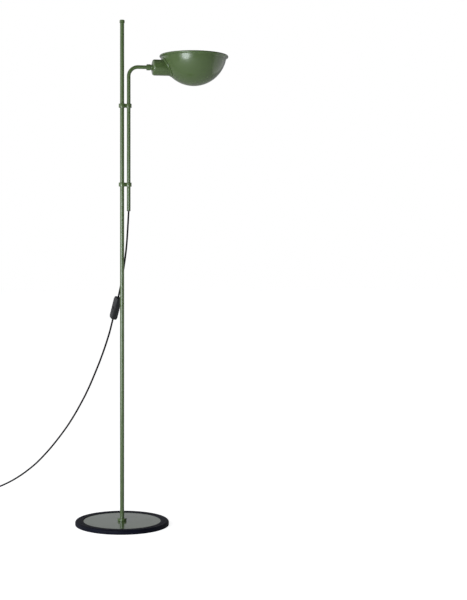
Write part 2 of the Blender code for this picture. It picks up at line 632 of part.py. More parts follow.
def make_plug(coil_middle, leave_height):
    """The cord's last stretch leaves the coil's top layer towards -Y and ends in a flat two-pin plug."""
    line = coil_middle.x - COIL_OUTER
    past_coil = math.sqrt((COIL_OUTER + CORD_RADIUS) ** 2 - (COIL_OUTER - CORD_RADIUS) ** 2) + GAP
    leave = coil_middle.y - past_coil
    plug_height = GAP + PLUG_THICKNESS / 2
    sleeve_start = leave - COIL_LEAD_OUT
    tail = [
        (line, leave, leave_height), (line, leave - COIL_LEAD_OUT / 2, (leave_height + plug_height) / 2),
        (line, sleeve_start + GAP, plug_height),
    ]
    tube("flex_tail", smooth_route(tail, 6 * CORD_RADIUS), CORD_RADIUS, 2, "cord_jacket")
    towards_pins = (math.pi / 2, 0, 0)
    sleeve = [
        (0, PLUG_SLEEVE_LENGTH), (2 * CORD_RADIUS, PLUG_SLEEVE_LENGTH), (1.4 * CORD_RADIUS, 0), (0, 0),
    ]
    turned("plug_sleeve", sleeve, SMALL, "black_plastic", location=(line, sleeve_start, plug_height),
           rotation=towards_pins)
    body_start = sleeve_start - PLUG_SLEEVE_LENGTH - GAP
    box("plug_body", (PLUG_WIDTH, PLUG_LENGTH, PLUG_THICKNESS), "black_plastic", edge=PLUG_EDGE,
        location=(line, body_start - PLUG_LENGTH / 2, plug_height))
    for name, side in (("a", -1), ("b", 1)):
        rod(f"plug_pin_{name}", PIN_RADIUS, 0, PIN_LENGTH, SMALL, "brass",
            location=(line + side * PIN_SPACING / 2, body_start - PLUG_LENGTH - GAP, plug_height),
            rotation=towards_pins)


make_base()
make_pole()
make_clip("upper", UPPER_CLIP)
make_clip("lower", LOWER_CLIP)
make_arm()
make_neck()
SEAT = BOWL_RADIUS + SPHERE_SEAT
make_housing(turned("bowl_seat", [(0, SEAT), *arc((0, 0), SEAT, 80, -80, 30), (0, -SEAT)], 96,
                    location=BOWL_CENTRE, parent=HEAD_AXIS))
make_bowl()
make_lampholder()
make_switch()
make_cord()
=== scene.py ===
# %% [markdown]
# # A floor lamp with an adjustable arm
#
# The lamp has a heavy round foot, one thin pole, and a bent tube that two clips hold beside the
# pole. A bowl on the tube's end throws the light upwards. All of it is sage green enamel on
# steel, with a black rubber ring round the foot and a black cord. The CAD model already fixes
# every size and joint, so each step here only adds the fine surface of one piece, in its place.

# %% Load the frame
import json
import math

import bmesh
import bpy
from mathutils import Matrix, Vector
from mathutils.geometry import interpolate_bezier

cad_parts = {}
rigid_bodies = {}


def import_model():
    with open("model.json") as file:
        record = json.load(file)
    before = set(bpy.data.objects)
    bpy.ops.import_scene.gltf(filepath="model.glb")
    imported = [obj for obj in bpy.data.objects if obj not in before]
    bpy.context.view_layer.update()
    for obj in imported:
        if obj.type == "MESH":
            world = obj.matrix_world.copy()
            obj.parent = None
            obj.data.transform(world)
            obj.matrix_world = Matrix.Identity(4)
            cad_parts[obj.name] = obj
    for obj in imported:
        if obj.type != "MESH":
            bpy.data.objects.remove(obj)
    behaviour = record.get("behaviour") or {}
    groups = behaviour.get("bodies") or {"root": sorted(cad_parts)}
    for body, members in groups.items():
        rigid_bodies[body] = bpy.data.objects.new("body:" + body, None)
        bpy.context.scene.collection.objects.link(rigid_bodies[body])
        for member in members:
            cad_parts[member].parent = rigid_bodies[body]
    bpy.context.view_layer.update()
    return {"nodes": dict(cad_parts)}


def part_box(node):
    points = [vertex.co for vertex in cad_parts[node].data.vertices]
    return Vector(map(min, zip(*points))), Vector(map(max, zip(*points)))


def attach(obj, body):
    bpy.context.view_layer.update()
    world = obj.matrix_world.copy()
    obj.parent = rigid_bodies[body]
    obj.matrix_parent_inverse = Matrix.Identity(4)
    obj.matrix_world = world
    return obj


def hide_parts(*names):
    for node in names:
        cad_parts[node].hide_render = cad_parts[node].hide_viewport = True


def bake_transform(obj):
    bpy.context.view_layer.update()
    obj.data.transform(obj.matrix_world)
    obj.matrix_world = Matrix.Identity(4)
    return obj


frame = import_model()
nodes = frame["nodes"]
MM = 0.001

# %% [markdown]
# ## The camera
#
# The lamp is seen from far away, at about half its height, with the camera level, so the pole
# stays upright in the picture. The arm points ten degrees away from the camera. A shift could be
# had by turning the camera too, but then the pole would lean. So the lens is shifted instead,
# which slides the picture without changing the perspective.

# %% Set the camera
ARM_TURNED_AWAY = math.radians(10)
CAMERA_DISTANCE = 3.32
CAMERA_SIDE = 0.099
CAMERA_HEIGHT = 0.727
camera_data = bpy.data.cameras.new("camera")
camera = bpy.data.objects.new("camera", camera_data)
bpy.context.scene.collection.objects.link(camera)
turned_away = Matrix.Rotation(-ARM_TURNED_AWAY, 4, "Z")
camera.location = turned_away @ Vector((CAMERA_SIDE, -CAMERA_DISTANCE, CAMERA_HEIGHT))
camera.rotation_euler = (math.pi / 2, 0, -ARM_TURNED_AWAY)
camera_data.lens = 74.46
camera_data.shift_x = 0.124
camera_data.shift_y = -0.079
camera_data.clip_end = 50
bpy.context.scene.camera = camera
print("camera at", [round(value, 3) for value in camera.location])

# %% [markdown]
# ## Two helpers for working by hand in code
#
# In Blender an operator acts on whatever is selected. The imported nodes start out selected, so
# `pick` first deselects everything. A turned piece is made as on a lathe: a circle is added, then
# extruded and scaled again and again, up along the piece's outline. `lathe` repeats those two
# operators. A Screw modifier would turn the same outline, but these rings can be carried on in
# edit mode, and each ring is where the outline says.

# %% Helpers for picking and placing
UPRIGHT = Matrix.Identity(4)


def pick(obj):
    """Only this object is selected and active."""
    for other in bpy.context.view_layer.objects:
        other.select_set(False)
    bpy.context.view_layer.objects.active = obj
    obj.select_set(True)


def along_x(start, height):
    """A frame whose Z axis runs along the arm's outer end."""
    return Matrix.Translation((start, 0, height)) @ Matrix.Rotation(math.pi / 2, 4, "Y")


def settle(obj, place=UPRIGHT):
    """Turns and moves a finished object to its place, and applies that to its mesh."""
    pick(obj)
    obj.matrix_world = place @ obj.matrix_world
    bpy.ops.object.transform_apply(location=True, rotation=True, scale=True)
    return obj


def apply_modifier(obj, kind, **settings):
    pick(obj)
    modifier = obj.modifiers.new(kind.title(), kind)
    for key, value in settings.items():
        setattr(modifier, key, value)
    bpy.ops.object.modifier_apply(modifier=modifier.name)


def round_edges(obj, width, segments=3, angle=35):
    """Every edge sharper than the angle gets a small round, as paint and tumbling give it."""
    apply_modifier(obj, "BEVEL", width=width, segments=segments, limit_method="ANGLE",
                   angle_limit=math.radians(angle), harden_normals=False)


def smooth(obj, angle=40):
    pick(obj)
    bpy.ops.object.shade_smooth_by_angle(angle=math.radians(angle))


def face_out(obj):
    """Merges doubled points and turns every face outwards."""
    pick(obj)
    bpy.ops.object.mode_set(mode="EDIT")
    bpy.ops.mesh.select_all(action="SELECT")
    bpy.ops.mesh.remove_doubles(threshold=1e-6)
    bpy.ops.mesh.normals_make_consistent(inside=False)
    bpy.ops.object.mode_set(mode="OBJECT")


# %% A lathe of operators
def lathe(name, rings, sides=96, hollow=False):
    """Extrudes and scales a circle through (radius, height) rings, in metres.

    A hollow piece starts as an open circle, and its last ring is joined to its first."""
    radius, height = rings[0]
    bpy.ops.object.select_all(action="DESELECT")
    bpy.ops.mesh.primitive_circle_add(vertices=sides, radius=radius, location=(0, 0, height),
                                      fill_type="NOTHING" if hollow else "NGON")
    obj = bpy.context.object
    obj.name = obj.data.name = name
    bpy.ops.object.transform_apply(location=True)
    bpy.ops.object.mode_set(mode="EDIT")
    bpy.ops.mesh.select_all(action="SELECT")
    for next_radius, next_height in (*rings[1:], *([rings[0]] if hollow else [])):
        bpy.ops.mesh.extrude_region_move(
            TRANSFORM_OT_translate={"value": (0, 0, next_height - height)})
        ratio = next_radius / radius
        bpy.ops.transform.resize(value=(ratio, ratio, ratio), center_override=(0, 0, next_height))
        radius, height = next_radius, next_height
    bpy.ops.object.mode_set(mode="OBJECT")
    face_out(obj)
    return obj


def arc(centre, radius, start, end, count):
    """(radius, height) points round a centre, from one angle to another, in degrees."""
    steps = (math.radians(start + (end - start) * i / count) for i in range(count + 1))
    return [(centre[0] + radius * math.cos(a), centre[1] + radius * math.sin(a)) for a in steps]


def cut(obj, tool, operation="DIFFERENCE"):
    """A Boolean with a tool that is then thrown away."""
    apply_modifier(obj, "BOOLEAN", object=tool, operation=operation, solver="EXACT")
    bpy.data.objects.remove(tool)


def finish(obj, body, *replaced, edge=0.0, segments=3, angle=40):
    """Rounds, smooths and files a finished piece: it rides on a body and stands for CAD nodes."""
    if edge:
        round_edges(obj, edge, segments)
    smooth(obj, angle)
    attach(obj, body)
    if replaced:
        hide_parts(*replaced)
    print(f"{obj.name}: {len(obj.data.polygons)} faces, rides on {body}")
    return obj


# %% [markdown]
# ## The cord
#
# The mains cord leaves the lower end of the arm tube, hangs behind the pole, passes through an
# inline switch and sweeps down to the floor at the back. It is one smooth curve, because a real
# cord has no corners: a few points are given along an upright plane, and Bezier
# stretches are drawn between them. What is left of its length lies in a coil on the floor.

# %% The cord's route
ARM_X = sum(corner.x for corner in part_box("upper_arm_bush")) / 2
CORD_DIAMETER = 4.8 * MM
CORD_HEADING = math.radians(35)
UPPER_ROUTE = [
    (0, 0.8377), (0.0035, 0.794), (0.0085, 0.744), (0.0165, 0.699), (0.029, 0.645), (0.0403, 0.6072),
]
LOWER_ROUTE = [
    (0.0620, 0.5471), (0.0763, 0.508), (0.1025, 0.452), (0.132, 0.399), (0.166, 0.344), (0.204, 0.2925),
    (0.245, 0.244), (0.291, 0.198), (0.341, 0.1535), (0.399, 0.1095), (0.475, 0.0645), (0.551, 0.0300),
    (0.612, 0.0105), (0.650, 0.0036), (0.666, 0.0027), (0.677, 0.0029),
]


def in_cord_plane(point):
    along, height = point
    return Vector((ARM_X - along * math.sin(CORD_HEADING), along * math.cos(CORD_HEADING), height))


def smooth_route(points, spacing):
    """Points at an even spacing along Bezier stretches through the given ones."""
    points = [Vector(p) for p in points]
    ends = [points[0], *points, points[-1]]
    tangents = [(after - before).normalized() for before, after in zip(ends, ends[2:])]
    fine = []
    for i in range(len(points) - 1):
        a, b = points[i], points[i + 1]
        third = (b - a).length / 3
        fine += interpolate_bezier(a, a + tangents[i] * third, b - tangents[i + 1] * third, b, 24)[:-1]
    fine.append(points[-1])
    even, travelled = [fine[0]], 0.0
    for a, b in zip(fine, fine[1:]):
        travelled += (b - a).length
        if travelled >= spacing:
            even.append(b)
            travelled = 0.0
    even[-1] = points[-1]
    return even


def length_of(points):
    return sum((b - a).length for a, b in zip(points, points[1:]))


# %% [markdown]
# A coil has to hold its length without any strand passing through another. So it has two layers,
# as a careful hand winds it on a table. The lower layer spirals inwards, the cord steps up at the
# innermost turn, and the upper layer spirals out again. The innermost turn is still eight cord
# widths across, because a mains lead kinks if it is bent tighter.

# %% The coil's turns
low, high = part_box("flex_coil")
CORD_RADIUS = CORD_DIAMETER / 2
COIL_MIDDLE = (low + high) / 2
COIL_OUTER = (high.x - low.x) / 2 - CORD_RADIUS
COIL_INNER = 19.6 * MM
LOWER_LAYER, UPPER_LAYER = low.z + CORD_RADIUS, high.z - CORD_RADIUS
COIL_START, COIL_END, STEP_UP = 35, 180 + 360 * 7, 90
ONE_SPIRAL = (COIL_END - COIL_START - STEP_UP) / 2


def share(value, start, length):
    """How far a value has come through a stretch, from 0 to 1."""
    return min(max((value - start) / length, 0), 1)


coil_points = []
for degrees in range(COIL_START + 15, COIL_END + 1, 15):
    inwards = share(degrees, COIL_START, ONE_SPIRAL)
    climbed = share(degrees, COIL_START + ONE_SPIRAL, STEP_UP)
    outwards = share(degrees, COIL_START + ONE_SPIRAL + STEP_UP, ONE_SPIRAL)
    reach = COIL_OUTER + (COIL_INNER - COIL_OUTER) * (inwards - outwards)
    eased = climbed * climbed * (3 - 2 * climbed)
    angle = math.radians(degrees)
    coil_points.append(Vector((
        COIL_MIDDLE.x + reach * math.cos(angle), COIL_MIDDLE.y + reach * math.sin(angle),
        LOWER_LAYER + (UPPER_LAYER - LOWER_LAYER) * eased)))
sleeve_low, sleeve_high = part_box("plug_sleeve")
plug_line = (sleeve_low.x + sleeve_high.x) / 2
plug_height = (sleeve_low.z + sleeve_high.z) / 2
tail_points = [
    Vector((plug_line, coil_points[-1].y - 14 * MM, UPPER_LAYER)),
    Vector((plug_line, sleeve_high.y + 6 * MM, plug_height)),
    Vector((plug_line, sleeve_high.y - 3 * MM, plug_height)),
]
upper_path = smooth_route([in_cord_plane(p) for p in UPPER_ROUTE], 3 * MM)
lower_path = smooth_route([*map(in_cord_plane, LOWER_ROUTE), *coil_points, *tail_points], 3 * MM)
print("upper cord", round(length_of(upper_path), 3), "m, lower cord", round(length_of(lower_path), 3), "m")

# %% [markdown]
# ## Finishes
#
# Paint is never one flat colour. Under a lamp it shows a faint ripple that painters call orange
# peel, it is thinner and lighter on sharp edges, and a little dust settles on what faces up.
# Three small node groups make these effects. Each finish then places them with its own values.
# A group only puts out masks and heights, and the Principled shader stays in the material.

# %% Node group helpers
def new_group(name, inputs, output):
    group = bpy.data.node_groups.new(name, "ShaderNodeTree")
    group.interface.new_socket("Place", in_out="INPUT", socket_type="NodeSocketVector")
    for label, value in inputs.items():
        socket = group.interface.new_socket(label, in_out="INPUT", socket_type="NodeSocketFloat")
        socket.default_value = value
    group.interface.new_socket(output, in_out="OUTPUT", socket_type="NodeSocketFloat")
    return group, group.nodes.new("NodeGroupInput"), group.nodes.new("NodeGroupOutput")


def add_node(tree, kind, values=(), **settings):
    node = tree.nodes.new(f"ShaderNode{kind}")
    for key, value in settings.items():
        setattr(node, key, value)
    for key, value in dict(values).items():
        node.inputs[key].default_value = value
    return node


def noise(tree, place, scale, detail=3):
    """A noise texture whose scale is in blobs to the metre, from a socket or a number."""
    node = add_node(tree, "TexNoise", {"Detail": detail})
    tree.links.new(place, node.inputs["Vector"])
    if isinstance(scale, (int, float)):
        node.inputs["Scale"].default_value = scale
    else:
        tree.links.new(scale, node.inputs["Scale"])
    return node.outputs["Fac"]


def combine(tree, operation, a, b):
    node = add_node(tree, "Math", operation=operation)
    for socket, value in zip(node.inputs, (a, b)):
        if isinstance(value, (int, float)):
            socket.default_value = value
        else:
            tree.links.new(value, socket)
    return node.outputs[0]


def spread(tree, value, low, high, to_low=0.0, to_high=1.0):
    limits = {"From Min": low, "From Max": high, "To Min": to_low, "To Max": to_high}
    node = add_node(tree, "MapRange", limits)
    tree.links.new(value, node.inputs["Value"])
    return node.outputs["Result"]


# %% The three effects
EDGE_WEAR, inside, outside = new_group("edge_wear", {"Scale": 400.0, "Amount": 1.0}, "Mask")
geometry = add_node(EDGE_WEAR, "NewGeometry")
sharp = spread(EDGE_WEAR, geometry.outputs["Pointiness"], 0.51, 0.60)
patchy = spread(EDGE_WEAR, noise(EDGE_WEAR, inside.outputs["Place"], inside.outputs["Scale"]), 0.35, 0.7)
rubbed = combine(EDGE_WEAR, "MULTIPLY", sharp, patchy)
worn = combine(EDGE_WEAR, "MULTIPLY", rubbed, inside.outputs["Amount"])
EDGE_WEAR.links.new(worn, outside.inputs["Mask"])

DUST, inside, outside = new_group("dust", {"Scale": 60.0, "Amount": 1.0}, "Mask")
geometry = add_node(DUST, "NewGeometry")
parts = add_node(DUST, "SeparateXYZ")
DUST.links.new(geometry.outputs["Normal"], parts.inputs["Vector"])
upwards = spread(DUST, parts.outputs["Z"], 0.3, 1.0)
cloudy = spread(DUST, noise(DUST, inside.outputs["Place"], inside.outputs["Scale"], 6), 0.3, 0.75)
settled = combine(DUST, "MULTIPLY", combine(DUST, "MULTIPLY", upwards, cloudy), inside.outputs["Amount"])
DUST.links.new(settled, outside.inputs["Mask"])

GRAIN, inside, outside = new_group("surface_grain", {"Scale": 900.0, "Fine share": 0.3}, "Height")
broad = noise(GRAIN, inside.outputs["Place"], inside.outputs["Scale"], 1)
fine_scale = combine(GRAIN, "MULTIPLY", inside.outputs["Scale"], 4.0)
fine = noise(GRAIN, inside.outputs["Place"], fine_scale, 2)
both = combine(GRAIN, "ADD", broad, combine(GRAIN, "MULTIPLY", fine, inside.outputs["Fine share"]))
GRAIN.links.new(both, outside.inputs["Height"])
print("node groups", [group.name for group in bpy.data.node_groups])


# %% [markdown]
# Every finish follows one recipe: a colour that drifts a little, a lighter one on worn edges, a
# veil of dust, a roughness with faint smears in it, and a fine bump. What is the same all over
# the surface, such as metal or gloss, is set on the shader's own sockets.

# %% One recipe for all finishes
DUST_COLOUR = (0.42, 0.41, 0.38)
DUST_DULLS = 0.5
SMEAR_SCALE = 22


def mix_colour(tree, mask, first, second):
    """Blends two colours by a mask. A colour is a socket or three numbers."""
    node = add_node(tree, "Mix", data_type="RGBA")
    tree.links.new(mask, node.inputs["Factor"])
    for key, colour in ((6, first), (7, second)):
        if isinstance(colour, tuple):
            node.inputs[key].default_value = (*colour, 1)
        else:
            tree.links.new(colour, node.inputs[key])
    return node.outputs[2]


def use_group(tree, place, group, **values):
    node = tree.nodes.new("ShaderNodeGroup")
    node.node_tree = group
    tree.links.new(place, node.inputs["Place"])
    for key, value in values.items():
        node.inputs[key.replace("_", " ").capitalize()].default_value = value
    return node.outputs[0]


def finish_for(name, colour, roughness, drift=0.12, drift_scale=9, worn=None, wear=0.5, dust=0.05,
               smear=0.06, grain=900, grain_depth=0.02, stretch=(1, 1, 1), **shader_values):
    """A finish: grain is in bumps to the metre, and grain_depth in millimetres."""
    material = bpy.data.materials.new(name)
    material.use_nodes = True
    tree = material.node_tree
    shader = tree.nodes["Principled BSDF"]
    place = add_node(tree, "TexCoord").outputs["Object"]
    drifting = spread(tree, noise(tree, place, drift_scale, 4), 0.3, 0.7)
    darker = tuple(part * (1 - drift) for part in colour)
    lighter = tuple(part * (1 + drift) for part in colour)
    painted = mix_colour(tree, drifting, darker, lighter)
    if worn:
        painted = mix_colour(tree, use_group(tree, place, EDGE_WEAR, amount=wear), painted, worn)
    dusty = use_group(tree, place, DUST, amount=dust)
    painted = mix_colour(tree, dusty, painted, DUST_COLOUR)
    tree.links.new(painted, shader.inputs["Base Color"])
    smears = spread(tree, noise(tree, place, SMEAR_SCALE, 5), 0.3, 0.7,
                    roughness - smear / 2, roughness + smear / 2)
    duller = combine(tree, "MULTIPLY", dusty, DUST_DULLS)
    tree.links.new(combine(tree, "ADD", smears, duller), shader.inputs["Roughness"])
    stretched = add_node(tree, "Mapping", {"Scale": stretch})
    tree.links.new(place, stretched.inputs["Vector"])
    height = use_group(tree, stretched.outputs[0], GRAIN, scale=grain)
    bump = add_node(tree, "Bump", {"Strength": 1.0, "Distance": grain_depth * MM})
    tree.links.new(height, bump.inputs["Height"])
    tree.links.new(bump.outputs["Normal"], shader.inputs["Normal"])
    for key, value in shader_values.items():
        shader.inputs[key.replace("_", " ")].default_value = value
    return material


# %% The finishes
GREEN = (0.093, 0.147, 0.048)
FINISHES = {
    "enamel": finish_for("sage_enamel", GREEN, 0.23, drift=0.04, worn=(0.16, 0.23, 0.12), wear=0.3,
                         dust=0.02, smear=0.05, grain=350, grain_depth=0.003, IOR=1.5,
                         Coat_Weight=0.5, Coat_Roughness=0.12),
    "rubber": finish_for("ring_rubber", (0.004, 0.005, 0.014), 0.55, drift=0.25, drift_scale=30,
                         worn=(0.05, 0.055, 0.08), wear=0.4, dust=0.006, grain=2600,
                         grain_depth=0.05, Specular_IOR_Level=0.12),
    "black_plastic": finish_for("moulded_plastic", (0.022, 0.022, 0.025), 0.36, drift=0.12,
                                worn=(0.09, 0.09, 0.095), wear=0.4, dust=0.015, grain=3800,
                                grain_depth=0.03, Specular_IOR_Level=0.3),
    "cord_jacket": finish_for("cord_jacket", (0.003, 0.003, 0.0035), 0.5, drift=0.25, drift_scale=40,
                              dust=0.003, grain=2500, grain_depth=0.02, Specular_IOR_Level=0.08),
    "white_nylon": finish_for("bush_nylon", (0.3, 0.3, 0.28), 0.5, drift=0.06, dust=0.02, grain=3000,
                              grain_depth=0.02, Subsurface_Weight=0.1),
    "steel": finish_for("zinc_steel", (0.56, 0.57, 0.58), 0.3, drift=0.1, drift_scale=120, dust=0.02,
                        grain=1500, grain_depth=0.01, stretch=(1, 1, 6), Metallic=1.0),
    "brass": finish_for("brass", (0.72, 0.52, 0.22), 0.27, drift=0.12, drift_scale=90, dust=0.02,
                        grain=1800, grain_depth=0.01, stretch=(5, 1, 1), Metallic=1.0),
    "ceramic": finish_for("glazed_ceramic", (0.78, 0.77, 0.72), 0.18, drift=0.03, dust=0.04, grain=500,
                          grain_depth=0.03, Coat_Weight=0.5, Coat_Roughness=0.05),
    "bulb_glass": finish_for("opal_glass", (0.86, 0.86, 0.83), 0.16, drift=0.02, dust=0.03, grain=250,
                             grain_depth=0.02, Coat_Weight=0.4, Coat_Roughness=0.04,
                             Subsurface_Weight=0.35, Subsurface_Scale=0.01),
}
print("finishes", list(FINISHES))


def give(obj, slot):
    """Gives a piece one finish all over, from the slot that is passed in."""
    obj.data.materials.clear()
    obj.data.materials.append(FINISHES[slot])


# %% Draw both stretches
def draw_tube(name, points, radius, sides_setting=6, open_ends=False):
    """A round tube along points, made into a mesh."""
    curve = bpy.data.curves.new(name, "CURVE")
    curve.dimensions = "3D"
    curve.bevel_depth = radius
    curve.bevel_resolution = sides_setting
    curve.use_fill_caps = not open_ends
    spline = curve.splines.new("POLY")
    spline.points.add(len(points) - 1)
    for point, place in zip(spline.points, points):
        point.co = (*place, 1)
    obj = bpy.data.objects.new(name, curve)
    bpy.context.scene.collection.objects.link(obj)
    pick(obj)
    bpy.ops.object.convert(target="MESH")
    obj = bpy.context.object
    obj.data.name = name
    face_out(obj)
    smooth(obj, 60)
    return obj


cord_upper = draw_tube("cord_upper", upper_path, CORD_RADIUS)
cord_lower = draw_tube("cord_lower", lower_path, CORD_RADIUS)
give(cord_upper, "cord_jacket")
give(cord_lower, "cord_jacket")
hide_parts("flex_upper")
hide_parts("flex_lower", "flex_coil", "flex_tail")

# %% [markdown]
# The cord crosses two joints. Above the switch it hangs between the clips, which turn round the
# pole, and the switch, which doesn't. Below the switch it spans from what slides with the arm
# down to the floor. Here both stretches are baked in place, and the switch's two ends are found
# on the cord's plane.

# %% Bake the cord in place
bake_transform(cord_upper)
SWITCH_TOP, SWITCH_BOTTOM = in_cord_plane((0.0405, 0.6067)), in_cord_plane((0.0618, 0.5477))
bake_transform(cord_lower)

# %% [markdown]
# ## The foot
#
# The foot is a heavy enamelled disc inside a rubber ring. The ring keeps the steel off the floor
# and has one fine groove moulded into its top. Both are turned shapes, so both are made on the
# lathe. The lathe of operators keeps a ring of points wherever the light has to break.

# %% The rubber ring
def mm(*rings):
    """Rings given in millimetres, as metres."""
    return [(radius * MM, height * MM) for radius, height in rings]


rubber = lathe("foot_ring", [
    *mm((104.2, 0), (103.8, 0.4), (103.8, 10.4), (104, 10.8), (104.7, 11.2), (106.2, 11.5), (108.7, 11.6),
        (112.9, 11.6), (113.8, 11.4), (114.3, 11), (114.6, 10.8), (114.9, 11), (115.3, 11.4),
        (116.2, 11.6), (119.2, 11.6)),
    *arc((120.4 * MM, 6.6 * MM), 5 * MM, 82, 0, 9),
    *mm((125.4, 1.2), (125.1, 0.4), (124.3, 0)),
], sides=160, hollow=True)
give(rubber, "rubber")
finish(rubber, "stand", "base_ring", angle=50)

# %% The enamelled disc and the collar on it
disc = lathe("foot_disc", [
    *mm((3.1, 10.2), (101, 10.2), (102.1, 10.17)), *arc((102.3 * MM, 9 * MM), 1.2 * MM, 80, 0, 6),
    *mm((103.5, 2.2), (103.3, 2), (9.2, 2), (9.2, 6.5), (3.1, 6.5)),
], sides=160, hollow=True)
give(disc, "enamel")
finish(disc, "stand", "base_plate", angle=30)
COLLAR_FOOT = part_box("foot_collar")[0].z
collar = lathe("pole_collar", [
    *mm((5.9, 0.3), (6.2, 0), (11.7, 0), (12, 0.3)), *arc((11.2 * MM, 6.4 * MM), 0.8 * MM, 0, 90, 5),
    *mm((6.4, 7.2), (5.9, 6.8)),
], sides=72, hollow=True)
give(settle(collar, Matrix.Translation((0, 0, COLLAR_FOOT))), "enamel")
finish(collar, "stand", "foot_collar", angle=30)

# %% [markdown]
# ## The pole
#
# The pole is one straight steel tube, closed at the top by a small domed cap that is a little
# wider than the tube. A tube has an inner wall too, so it is a hollow turning and not a rod.

# %% The pole and its cap
POLE_LOW, POLE_HIGH = (corner.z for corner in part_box("pole"))
pole = lathe("pole_tube", [
    (4.4 * MM, POLE_LOW), (5.4 * MM, POLE_LOW), (5.6 * MM, POLE_LOW + 0.2 * MM),
    *[(5.6 * MM, POLE_LOW + (POLE_HIGH - POLE_LOW) * i / 12) for i in range(1, 12)],
    (5.6 * MM, POLE_HIGH - 0.2 * MM), (5.4 * MM, POLE_HIGH), (4.4 * MM, POLE_HIGH),
], sides=64, hollow=True)
give(pole, "enamel")
finish(pole, "stand", "pole", angle=30)
cap_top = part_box("pole_cap")[1].z
cap = lathe("top_cap", [
    (4.1 * MM, cap_top - 22 * MM), (4.1 * MM, cap_top - 8.7 * MM), (6.5 * MM, cap_top - 8.7 * MM),
    (6.9 * MM, cap_top - 8.3 * MM), (6.9 * MM, cap_top - 3.2 * MM),
    *arc((4.4 * MM, cap_top - 3 * MM), 2.5 * MM, 0, 78, 7),
    (2.5 * MM, cap_top - 0.15 * MM), (0.5 * MM, cap_top),
], sides=64)
give(cap, "enamel")
finish(cap, "stand", "pole_cap", angle=40)

# %% [markdown]
# ## The clips
#
# Each clip has two eyes, one round the pole and one round the arm tube, and a web between them.
# The real one is cast, so no edge on it is sharp. Two short turnings and a block are joined by
# Booleans, bored through, and only then bevelled, so that the bevel runs round the joins too.

# %% Cast one clip, then copy it
def plain_turning(name, radius, bottom, top, sides=64):
    return lathe(name, [(radius, bottom), (radius, top)], sides)


def block(name, size, centre):
    bpy.ops.object.select_all(action="DESELECT")
    bpy.ops.mesh.primitive_cube_add(size=1, location=centre)
    obj = bpy.context.object
    obj.name = obj.data.name = name
    obj.scale = size
    bpy.ops.object.transform_apply(location=True, rotation=True, scale=True)
    return obj


CLIP_HALF = 5.2 * MM
POLE_EYE, POLE_BORE = 9.08 * MM, 7.28 * MM
ARM_EYE, ARM_BORE = 7.9 * MM, 6.68 * MM
SCREW_BORE = 1.8 * MM
clip = plain_turning("pole_eye", POLE_EYE, -CLIP_HALF, CLIP_HALF)
arm_eye = plain_turning("arm_eye", ARM_EYE, -CLIP_HALF, CLIP_HALF)
settle(arm_eye, Matrix.Translation((ARM_X, 0, 0)))
cut(clip, block("web", (ARM_X, 9 * MM, 2 * CLIP_HALF - 0.8 * MM), (ARM_X / 2, 0, 0)), "UNION")
cut(clip, arm_eye, "UNION")
cut(clip, plain_turning("pole_bore", POLE_BORE, -2 * CLIP_HALF, 2 * CLIP_HALF))
arm_bore = plain_turning("arm_bore", ARM_BORE, -2 * CLIP_HALF, 2 * CLIP_HALF)
cut(clip, settle(arm_bore, Matrix.Translation((ARM_X, 0, 0))))
screw_hole = settle(plain_turning("screw_hole", SCREW_BORE, 4 * MM, 12 * MM, 24),
                    Matrix.Rotation(-math.pi / 2, 4, "X"))
cut(clip, screw_hole)
face_out(clip)
round_edges(clip, 0.45 * MM, 3, 30)
for which in ("upper", "lower"):
    copy = bpy.data.objects.new(f"{which}_cast_clip", clip.data.copy())
    bpy.context.scene.collection.objects.link(copy)
    low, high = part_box(f"{which}_clip")
    settle(copy, Matrix.Translation((0, 0, (low.z + high.z) / 2)))
    give(copy, "enamel")
    finish(copy, "clips", f"{which}_clip", angle=35)
bpy.data.objects.remove(clip)

# %% [markdown]
# ## The arm
#
# The arm is one steel tube that rises beside the pole and bends over towards the bowl. By hand,
# a circle is extruded up, spun a quarter turn round the bend's centre, and extruded outwards.
# Only then does it get its wall, after its faces are turned outwards.

# %% Bend the arm tube
ARM_HEIGHT = sum(corner.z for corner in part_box("lock_nut")) / 2
ARM_BOTTOM, ARM_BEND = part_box("arm_tube")[0].z, 25.5 * MM
ARM_RADIUS, ARM_WALL = 5 * MM, 1 * MM
ARM_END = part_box("arm_tube")[1].x
bpy.ops.object.select_all(action="DESELECT")
bpy.ops.mesh.primitive_circle_add(vertices=56, radius=ARM_RADIUS, location=(ARM_X, 0, ARM_BOTTOM))
arm = bpy.context.object
arm.name = arm.data.name = "bent_tube"
bpy.ops.object.transform_apply(location=True)
bpy.ops.object.mode_set(mode="EDIT")
bpy.ops.mesh.select_all(action="SELECT")
rise = (ARM_HEIGHT - ARM_BEND - ARM_BOTTOM) / 4
for _ in range(4):
    bpy.ops.mesh.extrude_region_move(TRANSFORM_OT_translate={"value": (0, 0, rise)})
bpy.ops.mesh.spin(steps=28, angle=math.pi / 2, axis=(0, -1, 0),
                  center=(ARM_X + ARM_BEND, 0, ARM_HEIGHT - ARM_BEND))
bpy.ops.mesh.extrude_region_move(TRANSFORM_OT_translate={"value": (ARM_END - ARM_X - ARM_BEND, 0, 0)})
bpy.ops.object.mode_set(mode="OBJECT")
face_out(arm)
apply_modifier(arm, "SOLIDIFY", thickness=ARM_WALL, offset=-1)
tube_top = max(point.co.z for point in arm.data.vertices)
print("arm tube top at", round(tube_top, 4), "of", round(ARM_HEIGHT + ARM_RADIUS, 4))
give(arm, "enamel")
finish(arm, "arm", "arm_tube", angle=40)

